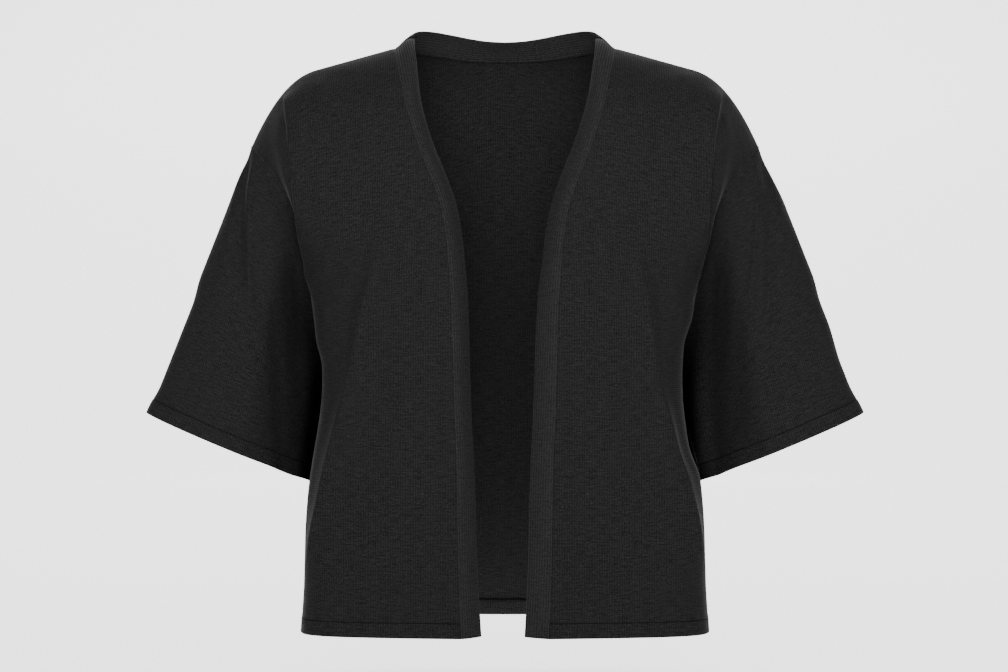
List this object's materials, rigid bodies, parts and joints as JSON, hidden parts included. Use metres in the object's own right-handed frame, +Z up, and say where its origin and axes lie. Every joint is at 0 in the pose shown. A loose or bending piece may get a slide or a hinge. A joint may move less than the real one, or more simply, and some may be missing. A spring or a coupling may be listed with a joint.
{
  "type": "cardigan",
  "caption": "Open-front kimono-shaped knit cardigan with dropped shoulders, wide elbow-length sleeves and a band round its front and neck edges.",
  "frame": {"origin": "middle of the neck at the height of its sides, where the neck and shoulders of a wearer or a form carry the garment", "axes": "+Z up, the fronts face -Y, +X to the right of someone who looks at the front"},
  "size_m": [0.7172, 0.2256, 0.5959],
  "materials": {
    "knit": "matt, charcoal-black melange fine knit",
    "rib": "matt, charcoal-black melange fine rib"
  },
  "bodies": {
    "root": {"back": "knit", "front_left": "knit", "front_right": "knit", "sleeve_left": "knit", "sleeve_right": "knit", "band": "rib"}
  },
  "joints": []
}
